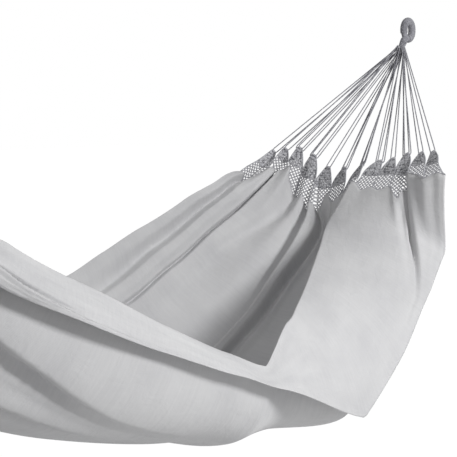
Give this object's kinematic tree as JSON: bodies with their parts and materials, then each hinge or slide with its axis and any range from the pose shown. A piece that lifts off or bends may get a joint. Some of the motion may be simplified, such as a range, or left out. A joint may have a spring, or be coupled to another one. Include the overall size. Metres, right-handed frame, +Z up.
{
  "type": "macrame hammock",
  "caption": "Grey cotton hammock: one woven bed hung from an eye at each end by a fan of cords, with knotted macrame scallops where cords meet cloth.",
  "frame": {"origin": "middle of the head eye, the loop that hangs on a hook at the end nearer the camera", "axes": "+X from the foot eye to the head eye, +Y towards the far edge of the bed, away from the side whose edge hangs over, +Z up"},
  "size_m": [3.1908, 1.0018, 1.3014],
  "materials": {
    "cloth": "matte plain-woven cotton",
    "macrame": "matte knotted cotton yarn",
    "suspension_cord": "matte twisted cotton cord",
    "wrapping_cord": "matte twisted cotton cord"
  },
  "bodies": {
    "head_eye": {"head_eye_bundle": "suspension_cord", "head_eye_wrapping": "wrapping_cord", "head_neck_whipping": "wrapping_cord"},
    "hammock": {"bed_cloth": "cloth", "head_scallop_01": "macrame", "head_scallop_02": "macrame", "head_scallop_03": "macrame", "head_scallop_04": "macrame", "head_scallop_05": "macrame", "head_scallop_06": "macrame", "head_scallop_07": "macrame", "head_scallop_08": "macrame", "head_scallop_09": "macrame", "head_scallop_10": "macrame", "head_scallop_11": "macrame", "head_scallop_12": "macrame", "foot_scallop_01": "macrame", "foot_scallop_02": "macrame", "foot_scallop_03": "macrame", "foot_scallop_04": "macrame", "foot_scallop_05": "macrame", "foot_scallop_06": "macrame", "foot_scallop_07": "macrame", "foot_scallop_08": "macrame", "foot_scallop_09": "macrame", "foot_scallop_10": "macrame", "foot_scallop_11": "macrame", "foot_scallop_12": "macrame", "head_cord_01": "suspension_cord", "head_cord_02": "suspension_cord", "head_cord_03": "suspension_cord", "head_cord_04": "suspension_cord", "head_cord_05": "suspension_cord", "head_cord_06": "suspension_cord", "head_cord_07": "suspension_cord", "head_cord_08": "suspension_cord", "head_cord_09": "suspension_cord", "head_cord_10": "suspension_cord", "head_cord_11": "suspension_cord", "head_cord_12": "suspension_cord", "foot_cord_01": "suspension_cord", "foot_cord_02": "suspension_cord", "foot_cord_03": "suspension_cord", "foot_cord_04": "suspension_cord", "foot_cord_05": "suspension_cord", "foot_cord_06": "suspension_cord", "foot_cord_07": "suspension_cord", "foot_cord_08": "suspension_cord", "foot_cord_09": "suspension_cord", "foot_cord_10": "suspension_cord", "foot_cord_11": "suspension_cord", "foot_cord_12": "suspension_cord"},
    "foot_eye": {"foot_eye_bundle": "suspension_cord", "foot_eye_wrapping": "wrapping_cord", "foot_neck_whipping": "wrapping_cord"}
  },
  "joints": [
    {"name": "side_swing", "type": "hinge", "parent": "head_eye", "child": "hammock", "pos_m": [-0.0448, 0, -0.0601], "axis": [1, 0, 0], "range_deg": [-35, 35]},
    {"name": "foot_eye_turn", "type": "hinge", "parent": "hammock", "child": "foot_eye", "pos_m": [-3.0432, 0, -0.0601], "axis": [1, 0, 0], "range_deg": [-35, 35]}
  ],
  "couplings": [
    {"joint": "foot_eye_turn", "follows": "side_swing", "ratio": -1}
  ]
}
